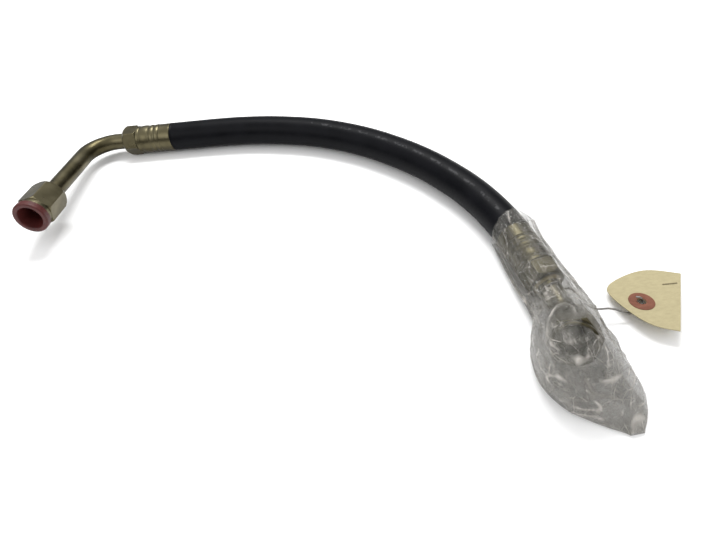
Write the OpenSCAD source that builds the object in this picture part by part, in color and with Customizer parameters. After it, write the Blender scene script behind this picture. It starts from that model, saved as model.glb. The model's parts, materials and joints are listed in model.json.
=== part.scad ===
// Hydraulic hose assembly: a two-braid rubber hose with a crimped swivel fitting on each end.
// End A is a 90 degree bent tube whose nut is closed by a dust plug.
// End B is a 45 degree bent tube covered by a clear bag, with a card tag on a wire.
// Frame: millimetres, +Z up, the assembly lies on the plane Z = 0.

/* [Hose] */
// Outside diameter of the rubber cover
hose_od = 22; // [21.6:0.1:22.4]
// Diameter over the outer wire braid
outer_braid_od = 18.6; // [18.2:0.1:19]
// Diameter between the two wire braids
inner_braid_od = 17.2; // [16.8:0.1:17.6]
// Outside diameter of the inner rubber tube
liner_od = 15.8; // [15.4:0.1:16.2]
// Bore of the hose
hose_bore = 12.7; // [12.6:0.1:13]

/* [Crimped ferrule and stem] */
// Length of each crimped ferrule
ferrule_length = 29.5; // [28:0.5:31]
// Length of the hexagonal collar on each stem
collar_length = 11.4; // [10:0.2:13]
// Width across the flats of the collar
collar_flats = 20.6; // [19.6:0.2:21.4]
// Bore through each stem
stem_bore = 9.5; // [8:0.5:10]

/* [Bent tubes] */
// Outside diameter of the steel tube
tube_od = 12.7; // [12.5:0.1:12.8]
// Bore of the steel tube
tube_bore = 9.5; // [8:0.5:10]
// Radius of each bend at the tube's centre line
bend_radius = 22; // [20:0.5:24]
// Bend of the tube at end A, in degrees
bend_a = 90; // [80:1:95]
// Bend of the tube at end B, in degrees
bend_b = 45; // [40:1:50]
// Straight tube between the collar and the bend at end A
straight_a = 8; // [4:0.5:12]
// Straight tube between the collar and the bend at end B
straight_b = 14; // [12:0.5:16]
// Distance from the end of the bend to the nut's face at end A
leg_a = 82; // [70:1:90]
// Distance from the end of the bend to the nut's face at end B
leg_b = 30; // [29:0.5:32]
// Rise of the bent leg above the ground at end A, in degrees
lift_a = 8; // [0:1:20]
// Rise of the bent leg above the ground at end B, in degrees
lift_b = 53; // [48:1:56]

/* [Swivel nuts] */
// Width across the flats of each nut
nut_flats = 22.2; // [21.8:0.2:23]
// Length of each nut
nut_length = 27; // [26:0.5:28]
// Minor diameter of the internal thread
thread_minor_d = 17.4; // [17.2:0.1:17.6]
// Length of the threaded wall
thread_length = 11.3; // [10:0.1:11.3]

/* [Dust plug] */
// Diameter of the plug's rim
plug_rim_d = 24; // [22:0.5:25]
// Height of the rim outside the nut
plug_rim_h = 5.2; // [3:0.2:8]
// Depth of the plug inside the nut
plug_depth = 10; // [6:0.5:11]

/* [Bag and tag] */
// Thickness of the bag's wall
film = 0.4; // [0.3:0.1:0.5]
// Length of the card tag along its far edge
tag_length = 39; // [36:0.5:44]
// Width of the card tag
tag_width = 47.6; // [40:0.2:54]
// Thickness of the card
tag_thickness = 0.5; // [0.3:0.1:1]
// Diameter of the reinforcing patches
patch_d = 13.2; // [10:0.2:16]
// Diameter of the hole through the card and the patches
tag_hole_d = 4.8; // [4:0.2:6]
// Diameter of the tag's steel wire
wire_d = 1.1; // [0.8:0.1:1.3]

/* [Hidden] */

// Smoothness of round shapes, and sides of the swept hose and wire
$fn = 96;
hose_sides = 12;
wire_sides = 8;
bag_sides = 28;

// Height of the hose's centre line, which leaves room for the bag's film underneath
hose_z = hose_od / 2 + 0.6;

// Route of the hose from the mouth of ferrule A to the mouth of ferrule B
route = [
  [-103.5, 146], [-86.5, 143], [-69.5, 140], [-52.5, 136.5], [-35.5, 132],
  [-19, 126.5], [-3, 120], [12.5, 112.5], [27.5, 103.5], [41.5, 93.5],
  [54.5, 82.5], [67, 70], [78.5, 57], [89, 43], [98, 28.5],
  [106, 13.5], [112.5, -2.5], [117.5, -19], [121, -36]
];
last = len(route) - 1;

// Directions in which the hose's ends point into their fittings, in degrees from +X
heading_a = 170;
heading_b = -84;

// Depth to which the inner layers of the hose run inside each ferrule
inner_depth = 26.5;

// Stations along each fitting, measured from the ferrule's mouth
collar_start = ferrule_length + 0.1;
collar_end = collar_start + collar_length;
tube_start = collar_end - 7;
tail_start = 1.5;

// Stations inside each nut, measured inwards from its face
seat_front = 12.8;
seat_length = 8;
seat_back = seat_front + seat_length;
seat_r = 8.4;
socket_depth = 3.3;
tube_tip = seat_back - socket_depth + 0.1;
groove_at = 18.6;
thread_start = 1;
nut_wall_at = nut_length - 4.4;
nut_front_ring = 3;

// Retaining wire between the nut and the nose
clip_wire_r = 0.8;
clip_ring_r = 8.65;

// Clearances, and how much thinner the tube is along its bend
braze_gap = 0.06;
bend_thinning = 0.02;
swivel_gap = 0.4;

// Outline of the bag from its mouth to its sealed corner:
// y, left x, x of the highest line, right x, top z, and how straight the right slope is
bag_stations = [
  [-22, 105.4, 118.5, 133, 24.2, 1], [-29, 107.1, 120, 138.5, 24.3, 1.05],
  [-36, 108.8, 121, 139, 24.4, 1.15], [-45, 109.3, 122, 139.5, 24.4, 1.25],
  [-58, 109.8, 123.3, 141.5, 24.5, 1.3], [-71.5, 110.3, 124.7, 144, 25, 1.3],
  [-85.5, 111.5, 125, 145.5, 26, 1.3], [-95, 110.5, 123, 146, 30, 1.3],
  [-104, 105.5, 119, 146.5, 37, 1.35], [-113, 101.5, 116, 146.5, 43.5, 1.4],
  [-122, 99.5, 113.5, 146, 47, 1.4], [-131, 99.5, 113, 145, 47.5, 1.4],
  [-139, 102.5, 115, 144, 41, 1.35], [-146, 108, 120, 143.5, 27, 1.25],
  [-152, 116, 127, 142, 13.5, 1.1], [-157.5, 124.5, 133, 140.5, 6, 1],
  [-162, 133, 136.5, 139, 3, 1]
];
// Station at which the bag's sealed corner starts
corner_row = 13;
bag_left_round = 0.8;
bag_foot_round = 0.6;
bag_left_height = 0.35;
bag_right_height = 0.12;

// Place of the middle of the tag's hole end, and how the card is turned
tag_at = [158.2, -82.6, 4.3];
tag_turn = [-9.6, 0, -26.7];
tag_end_width = 9;
tag_corner = 19;
tag_slant = 5;
tag_hole_at = [17, -6];
patch_thickness = 0.3;

// Wire: a loop round the tube at end B, then a tail that runs out to the tag's hole
wire_loop_at = collar_end + 6;
wire_loop_r = tube_od / 2 + wire_d / 2 + 0.15;
wire_tail = [
  [134.6, -83.4, 13.6], [136.2, -84.9, 13.2], [138.2, -87.7, 11.6], [140, -91.1, 10],
  [142, -94.3, 8.8], [144.5, -96.3, 8.2], [147.5, -96.9, 8.1], [151, -97.3, 8],
  [155, -98.3, 7.1], [158.5, -99.9, 5.6], [162, -100.5, 4.2], [165.5, -99.8, 3],
  [168.3, -97.9, 2.2], [170.1, -96.1, 2.4], [170.7, -95.5, 3.6], [170.7, -95.5, 5.4],
  [170.6, -95.4, 7], [170.2, -95, 8], [169.2, -94.3, 8.4], [167.8, -93.7, 8.2]
];
bag_slit = [145, -96.5, 8.1];
bag_slit_r = 2.2;

// ---- Helpers ----

// Unit vector along v
function unit(v) = v / norm(v);

// Points of a ring of n sides and radius r round p, in the plane of the vectors u and w
function ring(p, u, w, r, n) = [for (i = [0:n - 1]) p + r * (cos(360 * i / n) * u + sin(360 * i / n) * w)];

// Direction at point i of the flat route, with the given directions at its two ends
function heading_at(p, i, first, final) =
  i == 0 ? first : i == len(p) - 1 ? final : unit(unit(p[i] - p[i - 1]) + unit(p[i + 1] - p[i]));

// Unit vector in the ground plane at angle a
function ground(a) = [cos(a), sin(a), 0];

// Triangles that join ring number i to the next ring, each ring having n points
function band(i, n, start, flip) = [
  for (j = [0:n - 1])
    let (a = start + i * n + j, b = start + i * n + (j + 1) % n, c = a + n, d = b + n)
      each flip ? [[a, c, b], [b, c, d]] : [[a, b, c], [b, d, c]]
];

// Ring-shaped end face between an outer and an inner ring of n points each
function rim(outer, inner, n, flip) = [
  for (j = [0:n - 1])
    let (k = (j + 1) % n)
      each flip
        ? [[outer + j, inner + j, outer + k], [outer + k, inner + j, inner + k]]
        : [[outer + j, outer + k, inner + j], [outer + k, inner + k, inner + j]]
];

// Hollow tube between two stacks of rings, open at both ends
module shell(outer, inner) {
  n = len(outer[0]);
  rows = len(outer);
  inner_start = rows * n;
  final = (rows - 1) * n;
  polyhedron(
    points = concat([for (r = outer) each r], [for (r = inner) each r]),
    faces = concat(
      [for (i = [0:rows - 2]) each band(i, n, 0, false)],
      [for (i = [0:rows - 2]) each band(i, n, inner_start, true)],
      rim(0, inner_start, n, true),
      rim(final, inner_start + final, n, false)
    )
  );
}

// One layer of the hose; depth is how far it runs into the ferrules
module hose_layer(inner_r, outer_r, depth) {
  flat = [for (p = route) [p.x, p.y, hose_z]];
  ends = [flat[0] + depth * ground(heading_a), flat[last] + depth * ground(heading_b)];
  path = depth > 0 ? concat([ends[0]], flat, [ends[1]]) : flat;
  way = [for (i = [0:len(path) - 1]) heading_at(path, i, -ground(heading_a), ground(heading_b))];
  side = [for (t = way) cross(t, [0, 0, 1])];
  shell(
    [for (i = [0:len(path) - 1]) ring(path[i], [0, 0, 1], side[i], outer_r, hose_sides)],
    [for (i = [0:len(path) - 1]) ring(path[i], [0, 0, 1], side[i], inner_r, hose_sides)]
  );
}

// Puts children at a ferrule's mouth, with local +Z into the fitting and +X towards the bend
module at_mouth(p, heading, roll) {
  translate([p.x, p.y, hose_z])
    rotate([roll, 0, heading])
      rotate([0, 90, 0])
        children();
}

module at_end_a() at_mouth(route[0], heading_a, 90 + lift_a) children();
module at_end_b() at_mouth(route[last], heading_b, -90 - lift_b) children();

// Puts children on the leg of a bent tube, with local +Z along the leg
module on_leg(straight, bend, distance) {
  translate([bend_radius * (1 - cos(bend)), 0, collar_end + straight + bend_radius * sin(bend)])
    rotate([0, bend, 0])
      translate([0, 0, distance])
        children();
}

module at_nut_a() at_end_a() on_leg(straight_a, bend_a, leg_a) children();
module at_nut_b() at_end_b() on_leg(straight_b, bend_b, leg_b) children();

// Hexagonal bar with its flats turned by an angle
module hexagon(flats, length, turn) {
  rotate([0, 0, turn])
    linear_extrude(length)
      circle(r = flats / sqrt(3), $fn = 6);
}

// Solid of revolution from a list of [radius, height] points
module turned(profile) {
  rotate_extrude()
    polygon(profile);
}

// ---- Parts shared by both ends ----

// Crest of one crimped ridge of the ferrule, as points of its profile
function ridge(z0, z1, low, high) = [
  for (i = [0:6]) [low + (high - low) * pow(sin(15 + 25 * i), 0.6), z0 + (z1 - z0) * i / 6]
];

module ferrule() {
  crest = hose_od / 2;
  groove = crest - 0.75;
  braid_r = outer_braid_od / 2 + 0.05;
  lip_r = 7.9;
  color("darkkhaki")
    turned(concat(
      [[braid_r, 0], [crest - 0.5, 0], [crest - 0.1, 0.6], [crest - 0.1, 9.2]],
      ridge(9.8, 13.6, groove, crest),
      ridge(14.2, 18.2, groove, crest),
      ridge(18.8, 26.4, groove, crest + 0.05),
      [[crest - 0.3, 27], [crest - 0.1, 27.4], [crest - 0.1, ferrule_length - 0.4]],
      [[crest - 0.5, ferrule_length], [lip_r, ferrule_length], [lip_r, 27], [braid_r, 27]]
    ));
}

// Hose stem: barbed tail in the hose, hexagonal collar, and a socket for the tube
module hose_stem(collar_turn) {
  barb_r = hose_bore / 2 - 0.1;
  root_r = barb_r - 0.6;
  corner_r = collar_flats / sqrt(3);
  color("darkkhaki")
    difference() {
      union() {
        turned(concat(
          [[0, tail_start], [root_r, tail_start]],
          [for (z = [tail_start:3.5:22]) each [[barb_r, z + 1.6], [barb_r, z + 2.2], [root_r, z + 3.3]]],
          [[barb_r, 25.4], [7.6, 26.8], [7.6, collar_start + 0.5], [0, collar_start + 0.5]]
        ));
        intersection() {
          translate([0, 0, collar_start])
            hexagon(collar_flats, collar_length, collar_turn);
          turned([
            [0, collar_start], [corner_r - 1, collar_start], [corner_r - 0.1, collar_start + 0.8],
            [corner_r - 0.1, collar_end - 2], [corner_r - 1.9, collar_end], [0, collar_end]
          ]);
        }
      }
      translate([0, 0, -1])
        cylinder(d = stem_bore, h = collar_end + 2);
      translate([0, 0, tube_start])
        cylinder(d = tube_od + 2 * braze_gap, h = collar_end);
    }
}

// Fillet of braze metal round the tube, with its foot at height z
module braze(z, spread, rise) {
  inner_r = tube_od / 2 + 0.03;
  color("goldenrod")
    turned([
      [inner_r, z], [inner_r + spread, z], [inner_r + spread * 0.45, z + rise * 0.35],
      [inner_r + spread * 0.12, z + rise], [inner_r, z + rise]
    ]);
}

// Solid rod that follows the tube's centre line; the bend is a hair thinner than the straights
module bent_rod(d, straight, bend, leg) {
  translate([0, 0, tube_start + 0.1])
    cylinder(d = d + bend_thinning, h = collar_end - tube_start - 0.1 + straight);
  translate([bend_radius, 0, collar_end + straight])
    rotate([90, 0, 180])
      rotate_extrude(angle = bend)
        translate([bend_radius, 0])
          circle(d = d);
  on_leg(straight, bend, 0)
    cylinder(d = d + bend_thinning, h = leg - tube_tip);
}

module bent_tube(straight, bend, leg) {
  color("darkkhaki")
    difference() {
      bent_rod(tube_od, straight, bend, leg);
      union() {
        bent_rod(tube_bore, straight, bend, leg);
        translate([0, 0, tube_start - 1])
          cylinder(d = tube_bore, h = 2);
        on_leg(straight, bend, leg - tube_tip - 1)
          cylinder(d = tube_bore, h = 2);
      }
    }
}

// Nose with the internal 37 degree cone that the mating fitting seals on
module cone_nose() {
  cone_r = 7.7;
  bore_r = tube_bore / 2;
  cone_depth = (cone_r - bore_r) / tan(37);
  socket_r = tube_od / 2 + braze_gap;
  groove_r = clip_ring_r - clip_wire_r - 0.05;
  half_groove = clip_wire_r + 0.1;
  color("darkkhaki")
    turned([
      [cone_r, -seat_front], [seat_r - 0.3, -seat_front], [seat_r, -seat_front - 0.3],
      [seat_r, -groove_at + half_groove], [groove_r, -groove_at + half_groove],
      [groove_r, -groove_at - half_groove], [seat_r, -groove_at - half_groove],
      [seat_r, -seat_back], [socket_r, -seat_back], [socket_r, -seat_back + socket_depth],
      [bore_r, -seat_back + socket_depth], [bore_r, -seat_front - cone_depth]
    ]);
}

module retaining_wire() {
  color("dimgray")
    translate([0, 0, -groove_at])
      rotate_extrude()
        translate([clip_ring_r, 0])
          circle(r = clip_wire_r, $fn = 32);
}

// Swivel nut: hexagon with a round ring at its face, thread, and a wall that traps the nose
module swivel_nut(turn) {
  minor_r = thread_minor_d / 2;
  corner_r = nut_flats / sqrt(3);
  relief_r = minor_r + 0.25;
  clip_r = clip_ring_r + clip_wire_r + 0.35;
  rear_r = tube_od / 2 + swivel_gap;
  half_groove = clip_wire_r + 0.3;
  thread_end = thread_start + thread_length;
  color("darkkhaki")
    difference() {
      intersection() {
        union() {
          translate([0, 0, -nut_length])
            hexagon(nut_flats, nut_length - nut_front_ring, turn);
          translate([0, 0, -nut_front_ring - 1])
            cylinder(r = nut_flats / 2 - 0.1, h = nut_front_ring + 1);
        }
        turned([
          [0, 0], [10.4, 0], [11, -0.6], [11, -nut_front_ring],
          [corner_r - 1.2, -nut_front_ring], [corner_r - 0.1, -nut_front_ring - 1],
          [corner_r - 0.1, -nut_length + 4.2], [corner_r - 1, -nut_length + 2],
          [9.6, -nut_length], [0, -nut_length]
        ]);
      }
      turned([
        [0, 1], [minor_r + 1, 1], [minor_r + 1, 0], [minor_r, -thread_start],
        [minor_r, -thread_end], [relief_r, -thread_end - 0.2],
        [relief_r, -groove_at + half_groove], [clip_r, -groove_at + half_groove],
        [clip_r, -groove_at - half_groove], [relief_r, -groove_at - half_groove],
        [relief_r, -nut_wall_at], [rear_r, -nut_wall_at], [rear_r, -nut_length - 1],
        [0, -nut_length - 1]
      ]);
    }
}

// ---- Nodes: hose ----

bore_r = hose_bore / 2 / cos(180 / hose_sides);

module hose_cover() {
  color("black")
    hose_layer(outer_braid_od / 2, hose_od / 2, 0);
}

module outer_wire_braid() {
  color("silver")
    hose_layer(inner_braid_od / 2, outer_braid_od / 2, inner_depth);
}

module inner_wire_braid() {
  color("gray")
    hose_layer(liner_od / 2, inner_braid_od / 2, inner_depth);
}

module hose_liner() {
  color("dimgray")
    hose_layer(bore_r, liner_od / 2, inner_depth);
}

// ---- Nodes: end A ----

module ferrule_a() at_end_a() ferrule();
module hose_stem_a() at_end_a() hose_stem(-lift_a);
module stem_braze_a() at_end_a() braze(collar_end, 1.6, 1.5);
module bent_tube_a() at_end_a() bent_tube(straight_a, bend_a, leg_a);
module nose_braze_a() at_nut_a() mirror([0, 0, 1]) braze(seat_back, 1.4, 1.1);
module cone_nose_a() at_nut_a() cone_nose();
module retaining_wire_a() at_nut_a() retaining_wire();
module swivel_nut_a() at_nut_a() swivel_nut(12);

// Hollow plug: a tapered cup in the thread with a thick rim outside
module dust_plug() {
  rim_r = plug_rim_d / 2;
  body_r = thread_minor_d / 2 - 0.3;
  mouth_r = 8.6;
  cup_r = 7.2;
  color("firebrick")
    at_nut_a()
      turned([
        [0, -plug_depth], [body_r - 0.6, -plug_depth], [body_r, -plug_depth + 4], [body_r, 0.2],
        [rim_r - 0.5, 0.2], [rim_r, 0.7], [rim_r, plug_rim_h - 1], [rim_r - 0.3, plug_rim_h - 0.3],
        [rim_r - 1, plug_rim_h], [mouth_r + 0.7, plug_rim_h], [mouth_r + 0.1, plug_rim_h - 0.4],
        [mouth_r - 0.1, plug_rim_h - 1], [cup_r, -2], [cup_r - 0.3, -plug_depth + 1.4],
        [0, -plug_depth + 1.4]
      ]);
}

// ---- Nodes: end B ----

module ferrule_b() at_end_b() ferrule();
module hose_stem_b() at_end_b() hose_stem(lift_b);
module stem_braze_b() at_end_b() braze(collar_end, 1.6, 1.5);
module bent_tube_b() at_end_b() bent_tube(straight_b, bend_b, leg_b);
module nose_braze_b() at_nut_b() mirror([0, 0, 1]) braze(seat_back, 1.4, 1.1);
module cone_nose_b() at_nut_b() cone_nose();
module retaining_wire_b() at_nut_b() retaining_wire();
module swivel_nut_b() at_nut_b() swivel_nut(0);

// ---- Nodes: bag, wire and tag ----

// Height at which the bag is widest, for a position from -1 on its left to 1 on its right
function bag_waist(top, side) = top * (bag_left_height + (bag_right_height - bag_left_height) * (side + 1) / 2);

// One point of the bag's cross-section, for the cosine and sine of its angle
function bag_point(s, inset, c, d) =
  let (
    slope = d < 0 ? bag_foot_round : c > 0 ? s[5] : bag_left_round,
    across = sign(c) * pow(abs(c), slope),
    rise = pow(abs(d), slope),
    waist = bag_waist(s[4], across),
    reach = (c > 0 ? s[3] - s[2] : s[2] - s[1]) - inset
  )
    [s[2] + reach * across, s[0],
     d > 0 ? waist + (s[4] - inset - waist) * rise : waist - (waist - inset) * rise];

// Cross-section of the bag at one station, drawn in by inset
function bag_ring(s, inset) = [
  for (i = [0:bag_sides - 1]) bag_point(s, inset, cos(360 * i / bag_sides), sin(360 * i / bag_sides))
];

// Tube of film through the given stations; a sealed one is closed at its last station
module film_shell(stations, sealed) {
  n = bag_sides;
  rows = len(stations);
  final = (rows - 1) * n;
  inner_start = rows * n;
  tip = stations[rows - 1];
  outer_rings = [for (s = stations) each bag_ring(s, 0)];
  inner_rings = [for (i = [0:rows - 1])
    each bag_ring(stations[i] + [sealed && i == rows - 1 ? 1 : 0, 0, 0, 0, 0, 0], film)];
  middle = [tip[2], tip[0], tip[4] / 2];
  centre = 2 * rows * n;
  fans = [for (j = [0:n - 1])
    let (k = (j + 1) % n)
      each [[final + j, centre, final + k], [inner_start + final + j, inner_start + final + k, centre + 1]]];
  polyhedron(
    points = concat(outer_rings, inner_rings, sealed ? [middle, middle + [0, 1, 0]] : []),
    faces = concat(
      [for (i = [0:rows - 2]) each band(i, n, 0, true)],
      [for (i = [0:rows - 2]) each band(i, n, inner_start, false)],
      rim(0, inner_start, n, false),
      sealed ? fans : rim(final, inner_start + final, n, true)
    )
  );
}

// Bag from its mouth on the hose to its sealed corner, with a slit for the tag's wire
module poly_bag() {
  color("lightgray", 0.5)
    difference() {
      film_shell([for (i = [0:corner_row]) bag_stations[i]], false);
      translate(bag_slit)
        rotate([0, 90, 0])
          cylinder(r = bag_slit_r, h = 8, center = true, $fn = 24);
    }
}

// Sealed corner of the bag, which lies flat on the ground
module bag_corner() {
  color("lightgray", 0.5)
    film_shell([for (i = [corner_row:len(bag_stations) - 1]) bag_stations[i]], true);
}

// Swept wire: across is a direction that the wire never runs along
module sweep_wire(path, across, r) {
  n = wire_sides;
  rows = len(path);
  way = [for (i = [0:rows - 1])
    unit(path[min(i + 1, rows - 1)] - path[max(i - 1, 0)])];
  side = [for (t = way) unit(across - (across * t) * t)];
  polyhedron(
    points = [for (i = [0:rows - 1]) each ring(path[i], side[i], cross(way[i], side[i]), r, n)],
    faces = concat(
      [for (i = [0:rows - 2]) each band(i, n, 0, true)],
      [[for (j = [0:n - 1]) j]],
      [[for (j = [n - 1:-1:0]) (rows - 1) * n + j]]
    )
  );
}

module tag_wire() {
  centre = [route[last].x, route[last].y, hose_z] + wire_loop_at * ground(heading_b);
  across = ground(heading_b);
  out = ground(heading_b + 90);
  loop = [for (a = [60:20:360])
    centre + wire_loop_r * (cos(a) * out + sin(a) * [0, 0, 1]) + across * (a - 360) / 360 * 1.8];
  color("gray")
    sweep_wire(concat(loop, wire_tail), across, wire_d / 2);
}

// Puts children in the plane of the card, with local +X from its hole end
module at_tag() translate(tag_at) rotate(tag_turn) children();

module tag_card() {
  half = tag_width / 2;
  tip = tag_end_width / 2;
  color("wheat")
    at_tag()
      difference() {
        linear_extrude(tag_thickness, center = true)
          polygon([
            [0, -tip], [tag_corner, -half], [tag_length - tag_slant, -half],
            [tag_length, half], [tag_corner, half], [0, tip]
          ]);
        translate(tag_hole_at)
          cylinder(d = tag_hole_d, h = 4, center = true);
      }
}

// Reinforcing patch glued on one face of the card; face is 1 for the top and -1 for the back
module tag_patch(face) {
  color("sienna")
    at_tag()
      translate([tag_hole_at.x, tag_hole_at.y, face * (tag_thickness + patch_thickness) / 2])
        difference() {
          cylinder(d = patch_d, h = patch_thickness, center = true);
          cylinder(d = tag_hole_d, h = 4, center = true);
        }
}

module tag_patch_front() tag_patch(1);
module tag_patch_back() tag_patch(-1);

hose_cover();
outer_wire_braid();
inner_wire_braid();
hose_liner();
ferrule_a();
hose_stem_a();
stem_braze_a();
bent_tube_a();
nose_braze_a();
cone_nose_a();
retaining_wire_a();
swivel_nut_a();
dust_plug();
ferrule_b();
hose_stem_b();
stem_braze_b();
bent_tube_b();
nose_braze_b();
cone_nose_b();
retaining_wire_b();
swivel_nut_b();
poly_bag();
bag_corner();
tag_wire();
tag_card();
tag_patch_front();
tag_patch_back();
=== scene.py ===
"""Looks of the hydraulic hose assembly: hose, plated fittings, dust plug, film bag, tag and wire."""

import json
import math

import bpy
from mathutils import Matrix, Vector, noise


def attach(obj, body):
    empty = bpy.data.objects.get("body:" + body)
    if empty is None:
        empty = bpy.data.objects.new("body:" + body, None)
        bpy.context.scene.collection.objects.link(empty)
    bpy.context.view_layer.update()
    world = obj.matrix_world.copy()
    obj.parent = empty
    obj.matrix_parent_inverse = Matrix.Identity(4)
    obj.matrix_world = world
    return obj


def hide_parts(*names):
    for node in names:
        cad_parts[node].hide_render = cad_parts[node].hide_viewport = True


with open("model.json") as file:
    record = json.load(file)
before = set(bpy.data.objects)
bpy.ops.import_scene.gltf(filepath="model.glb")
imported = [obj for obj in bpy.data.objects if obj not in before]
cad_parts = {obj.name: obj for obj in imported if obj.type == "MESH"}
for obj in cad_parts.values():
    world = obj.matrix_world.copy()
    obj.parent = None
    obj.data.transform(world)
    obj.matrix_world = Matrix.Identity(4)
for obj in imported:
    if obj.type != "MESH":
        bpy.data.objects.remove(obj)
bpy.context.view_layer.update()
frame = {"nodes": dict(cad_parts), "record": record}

# ---------------------------------------------------------------- camera

scene = bpy.context.scene
scene.view_settings.view_transform = "Standard"
scene.view_settings.look = "None"

CAMERA_AT = Vector((0.020, -0.2445, 0.2438))
# the directions that the picture's right and lower sides point in
RIGHT = Vector((0.9816, -0.1440, -0.1252))
DOWN = Vector((-0.1908, -0.7408, -0.6440))
camera_data = bpy.data.cameras.new("camera")
camera_data.sensor_width = 36.0
camera_data.lens = 26.37
camera_data.clip_start = 0.01
camera = bpy.data.objects.new("camera", camera_data)
scene.collection.objects.link(camera)
ahead = RIGHT.cross(DOWN).normalized()
turn = Matrix((RIGHT, -DOWN, -ahead)).transposed()
camera.matrix_world = Matrix.Translation(CAMERA_AT) @ turn.to_4x4()
scene.camera = camera


# ---------------------------------------------------------------- mesh helpers


def new_object(name, points, faces):
    """A smooth-shaded mesh object in the shared frame."""
    mesh = bpy.data.meshes.new(name)
    mesh.from_pydata([tuple(p) for p in points], [], faces)
    mesh.validate()
    mesh.update()
    for face in mesh.polygons:
        face.use_smooth = True
    obj = bpy.data.objects.new(name, mesh)
    scene.collection.objects.link(obj)
    return obj


def store_value(obj, label, values):
    """Keeps one number for each point of a mesh, for a material to read."""
    attribute = obj.data.attributes.new(label, "FLOAT", "POINT")
    attribute.data.foreach_set("value", values)


def spline(a, b, c, d, t):
    """The Catmull-Rom curve from b to c, at t from 0 to 1."""
    bend = (2 * a - 5 * b + 4 * c - d) * t * t
    twist = (3 * b - a - 3 * c + d) * t**3
    return 0.5 * (2 * b + (c - a) * t + bend + twist)


def smooth_path(points, per_span):
    """Points on a smooth curve through the given ones."""
    given = [Vector(p) for p in points]
    given = [2 * given[0] - given[1]] + given + [2 * given[-1] - given[-2]]
    path = []
    for i in range(1, len(given) - 2):
        path += [spline(*given[i - 1 : i + 3], k / per_span) for k in range(per_span)]
    path.append(given[-2])
    return path


def grid_faces(rows, count):
    """Quads between closed rows of count points each."""
    faces = []
    for i in range(rows - 1):
        for j in range(count):
            k = (j + 1) % count
            faces.append((i * count + j, i * count + k, (i + 1) * count + k, (i + 1) * count + j))
    return faces


def rising(value, start, span):
    """0 up to the start, 1 beyond the span after it, and evenly between."""
    return min(1.0, max(0.0, (value - start) / span))


# ---------------------------------------------------------------- node helpers


def material(name):
    """A new node material, its tree and its Principled shader."""
    mat = bpy.data.materials.new(name)
    mat.use_nodes = True
    return mat, mat.node_tree, mat.node_tree.nodes["Principled BSDF"]


def connect(tree, node, **values):
    """Links an output to each named input, or sets the input; an underscore stands for a space."""
    for label, value in values.items():
        socket = node.inputs[label.replace("_", " ")]
        if isinstance(value, bpy.types.NodeSocket):
            tree.links.new(value, socket)
        else:
            socket.default_value = value


def add(tree, kind, **values):
    """A new node with its inputs linked or set."""
    node = tree.nodes.new(kind)
    connect(tree, node, **values)
    return node


def object_coords(tree):
    """Coordinates that stay with the piece."""
    return tree.nodes.new("ShaderNodeTexCoord").outputs["Object"]


def mesh_value(tree, label):
    """The number that a mesh keeps for its points."""
    node = tree.nodes.new("ShaderNodeAttribute")
    node.attribute_name = label
    return node.outputs["Fac"]


def stretched(tree, coords, scale, rotation=(0, 0, 0)):
    """Coordinates scaled on each axis and then turned."""
    node = add(tree, "ShaderNodeMapping", Vector=coords, Scale=scale, Rotation=rotation)
    return node.outputs["Vector"]


def noise_at(tree, scale, detail=4.0, rough=0.55, coords=None, stretch=None):
    """Noise from 0 to 1 in object coordinates, or in the given ones."""
    if coords is None:
        coords = object_coords(tree)
    if stretch:
        coords = stretched(tree, coords, stretch)
    node = add(
        tree, "ShaderNodeTexNoise", Vector=coords, Scale=scale, Detail=detail, Roughness=rough
    )
    return node.outputs["Fac"]


def ramp(tree, source, stops):
    """The colour of a ramp at a value; its stops are (position, colour or grey)."""
    node = add(tree, "ShaderNodeValToRGB", Fac=source)
    elements = node.color_ramp.elements
    while len(elements) < len(stops):
        elements.new(0.5)
    for element, (position, colour) in zip(elements, stops):
        if isinstance(colour, float):
            colour = (colour, colour, colour)
        element.position = position
        element.color = (*colour, 1)
    return node.outputs["Color"]


def mixed(tree, amount, colour, fixed):
    """A colour drawn towards a fixed one by an amount from 0 to 1."""
    node = add(tree, "ShaderNodeMixRGB", Fac=amount, Color1=colour, Color2=(*fixed, 1))
    return node.outputs["Color"]


def combined(tree, operation, first, second):
    """The output of a maths node on a value and on another value or a number."""
    node = tree.nodes.new("ShaderNodeMath")
    node.operation = operation
    tree.links.new(first, node.inputs[0])
    if isinstance(second, float):
        node.inputs[1].default_value = second
    else:
        tree.links.new(second, node.inputs[1])
    return node.outputs[0]


def bump(tree, height, strength, distance, normal=None):
    """A normal bumped by a height, on top of another normal where one is given."""
    node = add(tree, "ShaderNodeBump", Height=height, Strength=strength, Distance=distance)
    if normal is not None:
        connect(tree, node, Normal=normal)
    return node.outputs["Normal"]


def grain_and_edges(tree, scale, strength, edge_radius):
    """A normal with a fine grain, and with the edges rounded in the light."""
    edges = add(tree, "ShaderNodeBevel", Radius=edge_radius)
    edges.samples = 6
    return bump(tree, noise_at(tree, scale, 2.0), strength, 0.0002, edges.outputs["Normal"])


# ---------------------------------------------------------------- materials


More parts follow.
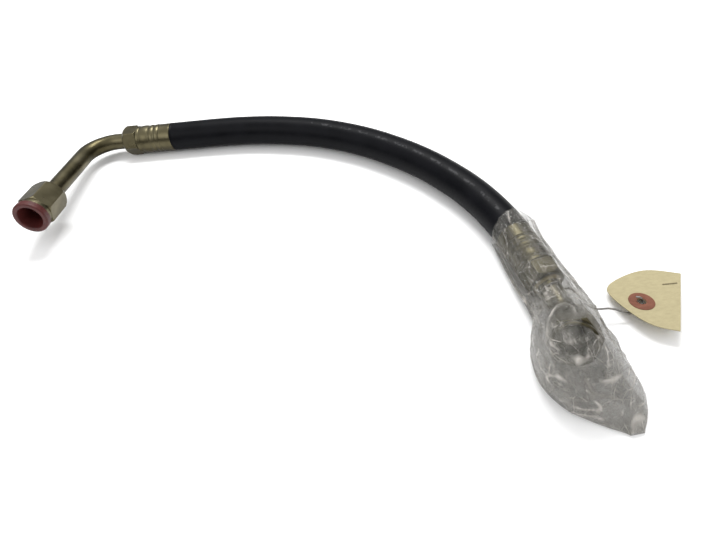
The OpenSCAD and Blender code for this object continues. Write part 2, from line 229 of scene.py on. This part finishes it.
def rubber_material():
    """Black rubber with uneven gloss and a faint, worn line of print."""
    mat, tree, shader = material("hose_rubber")
    cloud = noise_at(tree, 60.0)
    tone = ramp(tree, cloud, [(0.3, (0.0022, 0.0024, 0.0034)), (0.75, (0.0048, 0.0050, 0.0066))])
    patchy = ramp(tree, noise_at(tree, 420.0, 2.0), [(0.42, 0.0), (0.58, 1.0)])
    worn_line = combined(tree, "MULTIPLY", mesh_value(tree, "print_line"), patchy)
    connect(
        tree,
        shader,
        Base_Color=mixed(tree, worn_line, tone, (0.045, 0.045, 0.048)),
        Roughness=ramp(tree, cloud, [(0.3, 0.36), (0.7, 0.48)]),
        Specular_IOR_Level=0.07,
        Normal=bump(tree, noise_at(tree, 900.0, 3.0), 0.25, 0.0003),
    )
    return mat


def zinc_material(name, dark=1.0):
    """Yellow-chromate zinc plating: cloudy in tint and gloss; dark scales its tones, which makes a darker
    copy for painted shade.
    """
    mat, tree, shader = material(name)
    tones = [
        (0.25, (0.048, 0.041, 0.021)),
        (0.5, (0.098, 0.086, 0.050)),
        (0.75, (0.175, 0.156, 0.098)),
    ]
    tones = [(position, [part * dark for part in colour]) for position, colour in tones]
    connect(
        tree,
        shader,
        Base_Color=ramp(tree, noise_at(tree, 38.0, 3.0), tones),
        Metallic=1.0,
        Roughness=ramp(tree, noise_at(tree, 95.0, 5.0), [(0.25, 0.24), (0.8, 0.44)]),
        Normal=grain_and_edges(tree, 700.0, 0.12, 0.0005),
    )
    return mat


def mottled_metal(name, scale, low, high, metallic, roughness):
    """Bare metal with a mottled tone between two colours."""
    mat, tree, shader = material(name)
    tone = ramp(tree, noise_at(tree, scale), [(0.3, low), (0.7, high)])
    connect(tree, shader, Base_Color=tone, Metallic=metallic, Roughness=roughness)
    return mat


def braid_material():
    """Steel wire braid, as fine bright bands."""
    mat, tree, shader = material("wire_braid")
    wave = add(
        tree, "ShaderNodeTexWave", Vector=object_coords(tree), Scale=420.0, Distortion=0.6
    )
    tone = ramp(tree, wave.outputs["Fac"], [(0.2, 0.20), (0.8, 0.6)])
    connect(tree, shader, Base_Color=tone, Metallic=1.0, Roughness=0.4)
    return mat


def plug_material():
    """Red moulded plastic, a little cloudy."""
    mat, tree, shader = material("red_plug_plastic")
    connect(
        tree,
        shader,
        Base_Color=ramp(
            tree, noise_at(tree, 120.0), [(0.3, (0.050, 0.009, 0.008)), (0.7, (0.085, 0.016, 0.014))]
        ),
        Roughness=0.42,
        Specular_IOR_Level=0.35,
        Subsurface_Weight=0.08,
        Subsurface_Radius=(0.004, 0.001, 0.001),
        Normal=grain_and_edges(tree, 500.0, 0.15, 0.0004),
    )
    return mat


def card_material(name, low, high):
    """Fibrous card, mottled between two colours."""
    mat, tree, shader = material(name)
    fibre = noise_at(tree, 260.0, 6.0, 0.7, stretch=(1.0, 2.2, 1.0))
    connect(
        tree,
        shader,
        Base_Color=ramp(tree, fibre, [(0.3, low), (0.7, high)]),
        Roughness=0.8,
        Specular_IOR_Level=0.25,
        Normal=bump(tree, fibre, 0.2, 0.0002),
    )
    return mat


def bent_coords(tree, coords):
    """Coordinates pushed about by a slow noise, so that straight features wander."""
    push = noise_at(tree, 40.0, 2.0, 0.5, coords).node.outputs["Color"]
    reach = 0.012
    node = tree.nodes.new("ShaderNodeVectorMath")
    node.operation = "MULTIPLY_ADD"
    tree.links.new(push, node.inputs[0])
    node.inputs[1].default_value = (reach, reach, reach)
    tree.links.new(coords, node.inputs[2])
    return node.outputs[0]


def crease_lines(tree, coords, scale, width, stretch):
    """Thin lines along the edges of irregular facets, 1 on a line and 0 off it."""
    turned = stretched(tree, coords, stretch, (0.2, 0.3, 0.5))
    facets = add(tree, "ShaderNodeTexVoronoi", Vector=turned, Scale=scale)
    facets.feature = "DISTANCE_TO_EDGE"
    return ramp(tree, facets.outputs["Distance"], [(0.0, 1.0), (width, 0.0)])


def film_material():
    """Clear film: dark grey haze with pale creases drawn as painted highlights, and sharp gloss."""
    mat, tree, shader = material("clear_film")
    coords = object_coords(tree)
    crumple = noise_at(tree, 70.0, 6.0, 0.62, coords, (1.0, 0.55, 1.0))
    streak = noise_at(tree, 170.0, 5.0, 0.62, coords, (1.0, 0.30, 0.8))
    bent = bent_coords(tree, coords)
    wide = crease_lines(tree, bent, 95.0, 0.030, (1.5, 0.40, 1.0))
    narrow = crease_lines(tree, bent, 230.0, 0.035, (1.3, 0.45, 1.0))
    lines = combined(tree, "MAXIMUM", wide, combined(tree, "MULTIPLY", narrow, 0.7))
    # the painted highlights on the creases fade in and out along the film
    fading = ramp(tree, noise_at(tree, 85.0), [(0.45, 0.0), (0.63, 0.80)])
    lines = combined(tree, "MULTIPLY", lines, fading)
    # crease lines and fold crests are painted highlights: pale lines that stand in for glints on the film
    pale = combined(tree, "MAXIMUM", lines, mesh_value(tree, "ridge"))
    # the film is clearer where it clings to the metal, and denser on its creases, where the painted
    # highlights lie
    haze = ramp(tree, crumple, [(0.3, 0.40), (0.5, 0.54), (0.7, 0.72)])
    clear = ramp(tree, mesh_value(tree, "cling"), [(0.0, 1.0), (1.0, 0.50)])
    haze = combined(tree, "MULTIPLY", haze, clear)
    alpha = combined(tree, "ADD", haze, combined(tree, "MULTIPLY", pale, 0.45))
    alpha.node.use_clamp = True
    tones = [
        (0.36, (0.132, 0.127, 0.110)),
        (0.52, (0.225, 0.217, 0.192)),
        (0.64, (0.290, 0.274, 0.250)),
        (0.78, (0.560, 0.530, 0.490)),
    ]
    coarse = bump(tree, crumple, 0.9, 0.0045)
    middling = bump(tree, streak, 0.7, 0.0018, coarse)
    connect(
        tree,
        shader,
        Base_Color=mixed(tree, pale, ramp(tree, streak, tones), (0.66, 0.62, 0.57)),
        Alpha=alpha,
        Roughness=0.13,
        IOR=1.5,
        Specular_IOR_Level=0.7,
        Normal=bump(tree, lines, 0.5, 0.0006, middling),
    )
    return mat


def floor_material():
    """Matt, nearly white."""
    mat, tree, shader = material("pale_floor")
    tone = ramp(tree, noise_at(tree, 6.0, 2.0), [(0.3, 0.90), (0.7, 0.92)])
    connect(tree, shader, Base_Color=tone, Roughness=0.9, Specular_IOR_Level=0.0)
    return mat


RUBBER = rubber_material()
ZINC = zinc_material("chromate_zinc")
# a darker copy of the plating: painted shade for end B under the film and for the cone noses in the nuts'
# bores
ZINC_SHADED = zinc_material("chromate_zinc_shaded", 0.52)
STEEL_WIRE = mottled_metal(
    "steel_wire", 400.0, (0.16, 0.15, 0.14), (0.34, 0.33, 0.31), metallic=0.85, roughness=0.42
)
BRAID = braid_material()
BRAZE = mottled_metal(
    "braze_metal", 300.0, (0.15, 0.12, 0.06), (0.26, 0.22, 0.13), metallic=1.0, roughness=0.45
)
RED = plug_material()
MANILA = card_material("manila_card", (0.34, 0.295, 0.175), (0.41, 0.36, 0.215))
PATCH = card_material("patch_fibre", (0.13, 0.048, 0.030), (0.20, 0.082, 0.052))
INK = card_material("ruled_ink", (0.13, 0.11, 0.06), (0.17, 0.14, 0.08))
FILM = film_material()


# ---------------------------------------------------------------- hose

HOSE_Z = 0.0116
HOSE_R = 0.0110
ROUTE = [
    (-0.1035, 0.146), (-0.0865, 0.143), (-0.0695, 0.140), (-0.0525, 0.1365), (-0.0355, 0.132),
    (-0.019, 0.1265), (-0.003, 0.120), (0.0125, 0.1125), (0.0275, 0.1035), (0.0415, 0.0935),
    (0.0545, 0.0825), (0.067, 0.070), (0.0785, 0.057), (0.089, 0.043), (0.098, 0.0285),
    (0.106, 0.0135), (0.1125, -0.0025), (0.1175, -0.019), (0.121, -0.036),
]
ROWS_PER_SPAN, HOSE_SIDES = 8, 48
# the drawn cover keeps just inside the CAD's radius, and swells and shrinks a little along its length
COVER_SHARE, SWELL, SWELL_SCALE = 0.995, 0.004, 40
# the print is dashes on one line of points, just off the top on the inner side of the bend
PRINT_SIDE, PRINT_ROWS = 2, range(57, 138)
DASH_STEP, DASH_LEVEL = 0.83, -0.35
centre_line = smooth_path([(x, y, HOSE_Z) for x, y in ROUTE], ROWS_PER_SPAN)


def make_hose():
    """Slightly uneven rubber cover with flat cut ends, and the places of its print."""
    points, printed = [], []
    total = len(centre_line)
    up = Vector((0, 0, 1))
    for i, p in enumerate(centre_line):
        way = (centre_line[min(i + 1, total - 1)] - centre_line[max(i - 1, 0)]).normalized()
        side = way.cross(up)
        dash = i in PRINT_ROWS and math.sin(i * DASH_STEP) > DASH_LEVEL
        for j in range(HOSE_SIDES):
            a = 2 * math.pi * j / HOSE_SIDES
            swell = 1 + SWELL * noise.noise(Vector((p.x * SWELL_SCALE, p.y * SWELL_SCALE, a)))
            radius = HOSE_R * swell * COVER_SHARE
            points.append(p + radius * (math.cos(a) * up + math.sin(a) * side))
            printed.append(1.0 if dash and j == PRINT_SIDE else 0.0)
    faces = grid_faces(total, HOSE_SIDES)
    faces.append(tuple(range(HOSE_SIDES)))
    faces.append(tuple(reversed(range((total - 1) * HOSE_SIDES, total * HOSE_SIDES))))
    obj = new_object("hose", points, faces)
    store_value(obj, "print_line", printed)
    obj.data.materials.append(RUBBER)
    return obj


hose = make_hose()
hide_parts("hose_cover")
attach(hose, "hose_and_fittings")


# ---------------------------------------------------------------- CAD nodes with better materials

MATERIAL_OF = {
    "outer_wire_braid": BRAID,
    "inner_wire_braid": BRAID,
    "hose_liner": RUBBER,
    "ferrule_a": ZINC,
    "hose_stem_a": ZINC,
    "stem_braze_a": BRAZE,
    "bent_tube_a": ZINC,
    "nose_braze_a": BRAZE,
    # the cone noses sit in the nuts' bores; their darker plating is painted shade
    "cone_nose_a": ZINC_SHADED,
    "retaining_wire_a": STEEL_WIRE,
    "swivel_nut_a": ZINC,
    "dust_plug": RED,
    # end B lies in the film bag; its darker plating is painted shade
    "ferrule_b": ZINC_SHADED,
    "hose_stem_b": ZINC_SHADED,
    "stem_braze_b": BRAZE,
    "bent_tube_b": ZINC_SHADED,
    "nose_braze_b": BRAZE,
    "cone_nose_b": ZINC_SHADED,
    "retaining_wire_b": STEEL_WIRE,
    "swivel_nut_b": ZINC_SHADED,
    "tag_wire": STEEL_WIRE,
    "tag_patch_front": PATCH,
    "tag_patch_back": PATCH,
}
METAL_SHARP, CARD_SHARP = math.radians(32), math.radians(40)

for name, mat in MATERIAL_OF.items():
    obj = frame["nodes"][name]
    if not obj.material_slots:
        obj.data.materials.append(mat)
    for entry in obj.material_slots:
        entry.material = mat
    for face in obj.data.polygons:
        face.use_smooth = True
    obj.data.set_sharp_from_angle(angle=METAL_SHARP)


# ---------------------------------------------------------------- tag

TAG_AT = Vector((0.1582, -0.0826, 0.0043))
TAG_TURN = Matrix.Rotation(math.radians(-26.7), 3, "Z") @ Matrix.Rotation(math.radians(-9.6), 3, "X")
TAG_OUTLINE = [
    (0.0, -0.0048), (0.019, -0.0238), (0.0338, -0.0238),
    (0.0389, 0.0238), (0.019, 0.0238), (0.0, 0.0048),
]
SQUARE_CORNERS = {2, 3}
CORNER_CUT, CUT_ROUNDS = 0.25, 4
TAG_HOLE, HOLE_R = Vector((0.017, -0.006)), 0.0024
HALF_THICK = 0.00022
CURL, CURL_SCALE = 0.00012, 60
CARD_STEPS, CARD_RINGS = 64, 10
TINY = 1e-6
# the rule starts at a point of the card, runs in one direction and lies just above the card
RULE_START, RULE_RUN, RULE_UP = (0.0284, 0.0111), (0.0077, 0.0033), 0.00040
RULE_HALF, RULE_STEPS = 0.0006, 12
# its width as a share: the middle, the change either way, and how quickly it changes
RULE_SHARE, RULE_UNEVEN, RULE_SPACING = 0.8, 0.3, 9


def on_tag(x, y, z):
    """A point given on the flat tag, in its place in the frame."""
    return TAG_AT + TAG_TURN @ Vector((x, y, z))


def soften(outline, keep):
    """Cuts the corners of an outline, except the kept ones."""
    corners = [(Vector((x, y)), i in keep) for i, (x, y) in enumerate(outline)]
    for _ in range(CUT_ROUNDS):
        cut = []
        for i, (p, sharp) in enumerate(corners):
            before = corners[i - 1][0]
            after = corners[(i + 1) % len(corners)][0]
            if sharp:
                cut.append((p, True))
            else:
                cut.append((p.lerp(before, CORNER_CUT), False))
                cut.append((p.lerp(after, CORNER_CUT), False))
        corners = cut
    return [p for p, _ in corners]


def edge_at(rim, angle):
    """Distance from the hole to the rim in a direction."""
    way = Vector((math.cos(angle), math.sin(angle)))
    best = None
    for i, p in enumerate(rim):
        span = rim[(i + 1) % len(rim)] - p
        area = way.x * -span.y + way.y * span.x
        if abs(area) < TINY * TINY:
            continue
        offset = p - TAG_HOLE
        t = (offset.x * -span.y + offset.y * span.x) / area
        s = (way.x * offset.y - way.y * offset.x) / area
        if t > 0 and -TINY <= s <= 1 + TINY and (best is None or t < best):
            best = t
    return best


def heading(way):
    """The angle of a flat direction."""
    return math.atan2(way.y, way.x)


def make_tag():
    """Card with rounded shoulders and a punched hole, gently curled."""
    rim = soften(TAG_OUTLINE, SQUARE_CORNERS)
    # angles through every point of the rim, so that corners stay sharp
    even = {2 * math.pi * k / CARD_STEPS - math.pi for k in range(CARD_STEPS)}
    angles = sorted({heading(p - TAG_HOLE) for p in rim} | even)
    top, bottom = [], []
    for ring in range(CARD_RINGS + 1):
        for a in angles:
            reach = HOLE_R + (edge_at(rim, a) - HOLE_R) * (ring / CARD_RINGS)
            x, y = TAG_HOLE.x + reach * math.cos(a), TAG_HOLE.y + reach * math.sin(a)
            curl = CURL * noise.noise(Vector((x * CURL_SCALE, y * CURL_SCALE, 3.0)))
            top.append(on_tag(x, y, HALF_THICK + curl))
            bottom.append(on_tag(x, y, -HALF_THICK + curl))
    count, under = len(angles), len(top)
    faces = grid_faces(CARD_RINGS + 1, count)
    faces += [tuple(reversed([v + under for v in face])) for face in faces]
    for j in range(count):
        k = (j + 1) % count
        outer = under - count
        faces.append((j, j + under, k + under, k))
        faces.append((outer + j, outer + k, outer + k + under, outer + j + under))
    obj = new_object("card_tag", top + bottom, faces)
    obj.data.set_sharp_from_angle(angle=CARD_SHARP)
    obj.data.materials.append(MANILA)
    return obj


tag = make_tag()
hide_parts("tag_card")
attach(tag, "tag")


def make_rule():
    """Short printed rule near the tag's far edge."""
    points, faces = [], []
    for i in range(RULE_STEPS + 1):
        t = i / RULE_STEPS
        x = RULE_START[0] + RULE_RUN[0] * t
        y = RULE_START[1] + RULE_RUN[1] * t
        uneven = RULE_UNEVEN * noise.noise(Vector((t * RULE_SPACING, 1.0, 0.0)))
        half = RULE_HALF * (RULE_SHARE + uneven)
        points.append(on_tag(x, y - half, RULE_UP))
        points.append(on_tag(x, y + half, RULE_UP))
    for i in range(RULE_STEPS):
        faces.append((2 * i, 2 * i + 2, 2 * i + 3, 2 * i + 1))
    obj = new_object("tag_rule", points, faces)
    obj.data.materials.append(INK)
    return obj


rule = make_rule()
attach(rule, "tag")


# ---------------------------------------------------------------- film bag, in millimetres

# y, left x, x of the highest line, right x, top z, and how straight the right slope is
BAG = [
    (-22, 105.4, 118.5, 133, 24.2, 1), (-29, 107.1, 120, 138.5, 24.3, 1.05),
    (-36, 108.8, 121, 139, 24.4, 1.15), (-45, 109.3, 122, 139.5, 24.4, 1.25),
    (-58, 109.8, 123.3, 141.5, 24.5, 1.3), (-71.5, 110.3, 124.7, 144, 25, 1.3),
    (-85.5, 111.5, 125, 145.5, 26, 1.3), (-95, 110.5, 123, 146, 30, 1.3),
    (-104, 105.5, 119, 146.5, 37, 1.35), (-113, 101.5, 116, 146.5, 43.5, 1.4),
    (-122, 99.5, 113.5, 146, 47, 1.4), (-131, 99.5, 113, 145, 47.5, 1.4),
    (-139, 102.5, 115, 146.5, 40, 1.35), (-146, 108, 120, 147.5, 26, 1.25),
    (-152, 116, 127, 145.5, 13, 1.1), (-157.5, 124.5, 133, 142.5, 6, 1),
    (-162, 132, 136, 139.5, 3, 1),
]
LEFT_ROUND, FOOT_ROUND = 0.8, 0.6
LEFT_WAIST, RIGHT_WAIST = 0.35, 0.12
BAG_ROWS, BAG_SIDES = 230, 240
GROUND_GAP = 0.15

# the mouth starts before the first station, is cut at a slant so that its right side starts further
# up the hose, and has a ragged edge
MOUTH_EXTRA, MOUTH_SLANT, MOUTH_RAGGED = 2, 13.0, 1.2

# depth of the folds and of the fine creases between them, and how closely each kind is spaced
FOLD_DEPTH, FOLD_SPACING = 3.4, (0.050, 0.030, 0.055)
FINE_DEPTH, FINE_SPACING, FINE_SHIFT = 1.0, (0.15, 0.085, 0.15), Vector((9, 3, 5))
FOLD_WANDER, WANDER_SPACING = 0.8, 0.05
CREASE_LEVELS = 3
# crests above these heights are drawn pale as painted highlights, and this strongly
FOLD_CREST, FINE_CREST = 0.78, 0.84
FOLD_GLINT_PAINT, FINE_GLINT_PAINT = 4.0, 3.0

# shares of a fold's depth: on the ferrule, under the bag, at its corner and at its long edges
FERRULE_SHARE, UNDER_SHARE, CORNER_SHARE, EDGE_SHARE = 0.3, 0.3, 0.4, 0.45
# no fold is deeper than this share of the bag's width or height there, whichever is less
DEEPEST_SHARE = 0.22
# the underside is where the sine of the angle is below this
UNDER_LEVEL = -0.5

# surplus width is gathered in pleats along the ferrule; their ridges stand out from it by the last
# of these, a share of their depth
PLEATS, PLEAT_DEPTH, PLEAT_WANDER, PLEAT_OUTSIDE = 27, 0.9, 2.5, 0.8

# changes along the bag, each with its start and its span: in -y, the folds loosen behind the ferrule
# and tighten at the corner; in y, the pleats gather and the film clings to the ferrule
LOOSENS, TIGHTENS = (52, 35), (143, 10)
GATHERS, CLINGS = (-105, 20), (-92, 12)
# how soon after the mouth its ragged edge ends and the pleats begin
RAGGED_FADE, PLEAT_FADE = 8, 12
# film lower than this lies on the ground, under the fitting
LYING = 1.5

# the tent of film touches the nut round this point
TENT_X, TENT_Y, TENT_RADIUS, TENT_CLING = 117, -121, 19, 1.6

# the axis of end B: its point at the hose's end, and its drift in x as y falls, on hose and fitting
END_X, END_Y, END_Z = 121.0, -36.0, 11.6
HOSE_DRIFT, FITTING_DRIFT = 0.206, 0.105
# the radius that the film keeps clear of, down to each y: on hose and ferrule, collar and tube
CLEAR_DOWN_TO = [(-65.5, 11.35), (-78, 12.2), (-92, 6.8)]
NUT_MOUNT = next(m for m in frame["record"]["mounts"] if m["name"] == "nut_b_thread")
NUT_FACE = 1000 * Vector(NUT_MOUNT["pos_m"])
NUT_AXIS = Vector(NUT_MOUNT["axis"]).normalized()
NUT_LENGTH, NUT_CLEAR, NUT_GAP = 27.5, 13.3, 0.8


def station(y):
    """Outline of the bag at y, smoothly between the listed stations."""
    if y >= BAG[0][0]:
        return list(BAG[0][1:])
    for i in range(len(BAG) - 1):
        y0, y1 = BAG[i][0], BAG[i + 1][0]
        if y0 >= y >= y1:
            rows = BAG[max(i - 1, 0)], BAG[i], BAG[i + 1], BAG[min(i + 2, len(BAG) - 1)]
            t = (y0 - y) / (y0 - y1)
            return [spline(*values, t) for values in list(zip(*rows))[1:]]
    return list(BAG[-1][1:])


def bag_point(outline, angle):
    """One point of the bag's cross-section, and the direction in which it faces."""
    left, peak, right, top, straight = outline
    c, s = math.cos(angle), math.sin(angle)
    power = FOOT_ROUND if s < 0 else straight if c > 0 else LEFT_ROUND
    across = math.copysign(abs(c) ** power, c)
    rise = abs(s) ** power
    waist = top * (LEFT_WAIST + (RIGHT_WAIST - LEFT_WAIST) * (across + 1) / 2)
    reach = right - peak if c > 0 else peak - left
    z = waist + (top - waist) * rise if s > 0 else waist * (1 - rise)
    return peak + reach * across, z, Vector((c * top, 0, s * reach)).normalized()


def scaled(point, factors):
    """A point with each coordinate multiplied by its own factor."""
    return Vector([part * factor for part, factor in zip(point, factors)])


def creased(v):
    """Sharp-crested noise up to 1: thin folds with flat facets between them."""
    total, weight, size = 0.0, 0.0, 1.0
    for k in range(CREASE_LEVELS):
        total += size * (1 - abs(noise.noise(v * 2**k)) * 2.0)
        weight += size
        size *= 0.5
    return total / weight


def ring_noise(angle, radius, height):
    """Noise read on a ring, so that it closes on itself round the bag."""
    return noise.noise(Vector((radius * math.cos(angle), radius * math.sin(angle), height)))


def fold_depth(y, angle, outline, fold, fine):
    """How far the folds draw the film in; they never push it out."""
    left, _, right, top, _ = outline
    loose = FERRULE_SHARE + (1 - FERRULE_SHARE) * rising(-y, *LOOSENS)
    depth = loose * (FOLD_DEPTH * (1 - fold) + FINE_DEPTH * (1 - fine))
    if math.sin(angle) < UNDER_LEVEL:
        depth *= UNDER_SHARE
    depth *= 1 - (1 - CORNER_SHARE) * rising(-y, *TIGHTENS)
    depth *= EDGE_SHARE + (1 - EDGE_SHARE) * abs(math.sin(angle))
    return min(depth, DEEPEST_SHARE * min(right - left, top))


def outside_fitting(q):
    """Moves a point of the film out of the hose, ferrule, collar, tube and nut at end B."""
    drift = HOSE_DRIFT if q.y > END_Y else FITTING_DRIFT
    clear = next((radius for y, radius in CLEAR_DOWN_TO if q.y > y), 0.0)
    centre = Vector((END_X - drift * (q.y - END_Y), q.y, END_Z))
    out = q - centre
    if 0 < out.length < clear:
        q = centre + out * clear / out.length
    along = (q - NUT_FACE).dot(NUT_AXIS)
    radial = q - NUT_FACE - along * NUT_AXIS
    if -NUT_LENGTH < along < NUT_GAP and 0 < radial.length < NUT_CLEAR:
        if NUT_CLEAR - radial.length < NUT_GAP - along:
            q = q + radial * (NUT_CLEAR / radial.length - 1)
        else:
            q = q + (NUT_GAP - along) * NUT_AXIS
    return q


def film_point(v, angle):
    """A point of the film in metres, how pale its painted highlight is and how it clings; v is 0 at the
    mouth, 1 at the end.
    """
    start = BAG[0][0] + MOUTH_EXTRA - MOUTH_SLANT * (1 - math.cos(angle)) / 2
    ragged = MOUTH_RAGGED * ring_noise(angle, 3, 4.0)
    y = start + (BAG[-1][0] - start) * v + ragged * max(0.0, 1 - RAGGED_FADE * v)
    outline = station(y)
    x, z, facing = bag_point(outline, angle)
    wander = Vector((FOLD_WANDER * noise.noise(Vector((x, y, z)) * WANDER_SPACING), 0, 0))
    fold = creased(scaled((x, y, z), FOLD_SPACING) + wander)
    fine = creased(scaled((x, y, z), FINE_SPACING) + FINE_SHIFT)
    gather = rising(y, *GATHERS) * min(1.0, PLEAT_FADE * v)
    turns = PLEATS * angle + PLEAT_WANDER * ring_noise(angle, 2, y * WANDER_SPACING)
    pleat = PLEAT_DEPTH * gather * (1 + math.sin(turns)) / 2
    q = Vector((x, y, z)) - (fold_depth(y, angle, outline, fold, fine) + pleat) * facing
    if z > LYING:
        q = outside_fitting(q)
        q = q + (PLEAT_DEPTH * gather - pleat) * PLEAT_OUTSIDE * facing
    q.z = max(q.z, GROUND_GAP)
    # the crests of the folds are drawn pale: painted highlights
    pale = max(0.0, fold - FOLD_CREST) * FOLD_GLINT_PAINT + max(0.0, fine - FINE_CREST) * FINE_GLINT_PAINT
    on_ferrule = rising(y, *CLINGS)
    on_nut = TENT_CLING * (1 - math.hypot(x - TENT_X, y - TENT_Y) / TENT_RADIUS)
    if math.sin(angle) <= 0:
        on_nut = 0.0
    return q / 1000, pale, max(on_ferrule, min(1.0, on_nut))


def make_bag():
    """Crumpled film: tight over the ferrule, a tent over the nut, flat towards its corner."""
    rows = [i / (BAG_ROWS - 1) for i in range(BAG_ROWS)]
    angles = [2 * math.pi * j / BAG_SIDES for j in range(BAG_SIDES)]
    points, ridges, cling = zip(*[film_point(v, angle) for v in rows for angle in angles])
    faces = grid_faces(BAG_ROWS, BAG_SIDES)
    faces.append(tuple(reversed(range((BAG_ROWS - 1) * BAG_SIDES, BAG_ROWS * BAG_SIDES))))
    obj = new_object("film_bag", points, faces)
    store_value(obj, "ridge", ridges)
    store_value(obj, "cling", cling)
    obj.data.materials.append(FILM)
    return obj


bag = make_bag()
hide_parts("poly_bag", "bag_corner")
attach(bag, "bag")


# ---------------------------------------------------------------- floor and light


def make_floor():
    """A large square under the object."""
    half = 3.0
    corners = [(-half, -half, 0), (half, -half, 0), (half, half, 0), (-half, half, 0)]
    obj = new_object("floor", corners, [(0, 1, 2, 3)])
    obj.data.materials.append(floor_material())


def area_light(name, place, size, power):
    """A soft light that faces the origin."""
    data = bpy.data.lights.new(name, "AREA")
    data.shape = "RECTANGLE"
    data.size, data.size_y = size
    data.energy = power
    obj = bpy.data.objects.new(name, data)
    obj.location = place
    obj.rotation_euler = (-Vector(place)).to_track_quat("-Z", "Y").to_euler()
    scene.collection.objects.link(obj)


def studio_world():
    """Light from overhead that falls off to the horizon, for contrast on metal; seen as pale grey."""
    world = bpy.data.worlds.new("studio")
    world.use_nodes = True
    tree = world.node_tree
    direction = tree.nodes.new("ShaderNodeTexCoord").outputs["Generated"]
    height = add(tree, "ShaderNodeSeparateXYZ", Vector=direction).outputs["Z"]
    sky = ramp(tree, height, [(0.0, 0.10), (0.25, 0.16), (0.70, 1.0)])
    looked_at = tree.nodes.new("ShaderNodeLightPath").outputs["Is Camera Ray"]
    shown = mixed(tree, looked_at, sky, (0.82, 0.82, 0.82))
    connect(tree, tree.nodes["Background"], Color=shown, Strength=1.15)
    return world


make_floor()
scene.world = studio_world()
area_light("key", place=(0.1, 0.5, 0.9), size=(0.55, 0.25), power=9.0)
area_light("fill", place=(-0.7, -0.4, 0.7), size=(0.6, 0.6), power=2.0)
